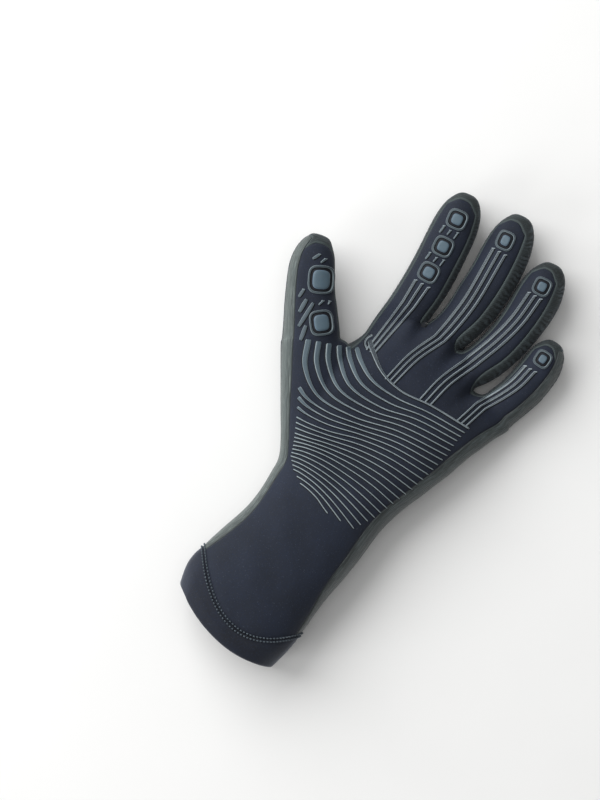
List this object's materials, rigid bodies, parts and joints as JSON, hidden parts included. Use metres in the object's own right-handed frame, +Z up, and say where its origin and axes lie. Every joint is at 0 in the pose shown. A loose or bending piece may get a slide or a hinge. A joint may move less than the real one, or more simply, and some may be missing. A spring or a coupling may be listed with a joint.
{
  "type": "diving glove",
  "caption": "Five-finger foam-rubber diving glove for the left hand with a long cuff, raised grip ribs over the palm and grip pads on the fingertips.",
  "frame": {"origin": "on the flat patch of the back under the middle of the palm, where the glove rests", "axes": "+X from the thumb to the little finger, +Y from the cuff to the fingertips, +Z up out of the palm"},
  "size_m": [0.1749, 0.3106, 0.0468],
  "materials": {
    "navy_cloth": "smooth laminated knit over foam rubber, matt",
    "grey_cloth": "grey-green laminated knit over foam rubber, matt",
    "dark_navy_cloth": "dark laminated knit over foam rubber, matt",
    "strip_cloth": "grey stretch tape, slightly glossy",
    "band_cloth": "blue-grey laminated knit, matt",
    "relief_rubber": "raised grip print, satin",
    "pad_rubber": "raised grip pads, satin"
  },
  "bodies": {
    "root": {"palm_panel": "navy_cloth", "hem": "navy_cloth", "hand_back": "grey_cloth", "middle_finger_back": "grey_cloth", "ring_finger_back": "grey_cloth", "knuckle_band": "band_cloth", "cuff_back": "dark_navy_cloth", "side_strip_thumb": "strip_cloth", "side_strip_little": "strip_cloth", "index_finger_back": "grey_cloth", "little_finger_back": "grey_cloth", "thumb_back": "grey_cloth", "palm_rib_1": "relief_rubber", "palm_rib_2": "relief_rubber", "palm_rib_3": "relief_rubber", "palm_rib_4": "relief_rubber", "palm_rib_5": "relief_rubber", "palm_rib_6": "relief_rubber", "palm_rib_7": "relief_rubber", "palm_rib_8": "relief_rubber", "palm_rib_9": "relief_rubber", "palm_rib_10": "relief_rubber", "palm_rib_11": "relief_rubber", "palm_rib_12": "relief_rubber", "palm_rib_13": "relief_rubber", "palm_rib_14": "relief_rubber", "palm_rib_15": "relief_rubber", "palm_rib_16": "relief_rubber", "palm_rib_17": "relief_rubber", "palm_rib_18": "relief_rubber", "palm_rib_19": "relief_rubber", "palm_rib_20": "relief_rubber", "palm_rib_21": "relief_rubber", "palm_rib_22": "relief_rubber", "palm_rib_23": "relief_rubber", "palm_rib_24": "relief_rubber", "finger_ribs": "relief_rubber", "thumb_rib_1": "relief_rubber", "thumb_rib_2": "relief_rubber", "thumb_rib_3": "relief_rubber", "index_pad_1": "pad_rubber", "index_pad_1_ring": "relief_rubber", "index_pad_2": "pad_rubber", "index_pad_2_ring": "relief_rubber", "index_pad_3": "pad_rubber", "index_pad_3_ring": "relief_rubber", "middle_pad": "pad_rubber", "middle_pad_ring": "relief_rubber", "ring_pad": "pad_rubber", "ring_pad_ring": "relief_rubber", "little_pad": "pad_rubber", "little_pad_ring": "relief_rubber", "thumb_pad_1": "pad_rubber", "thumb_pad_1_ring": "relief_rubber", "thumb_pad_2": "pad_rubber", "thumb_pad_2_ring": "relief_rubber"}
  },
  "joints": []
}
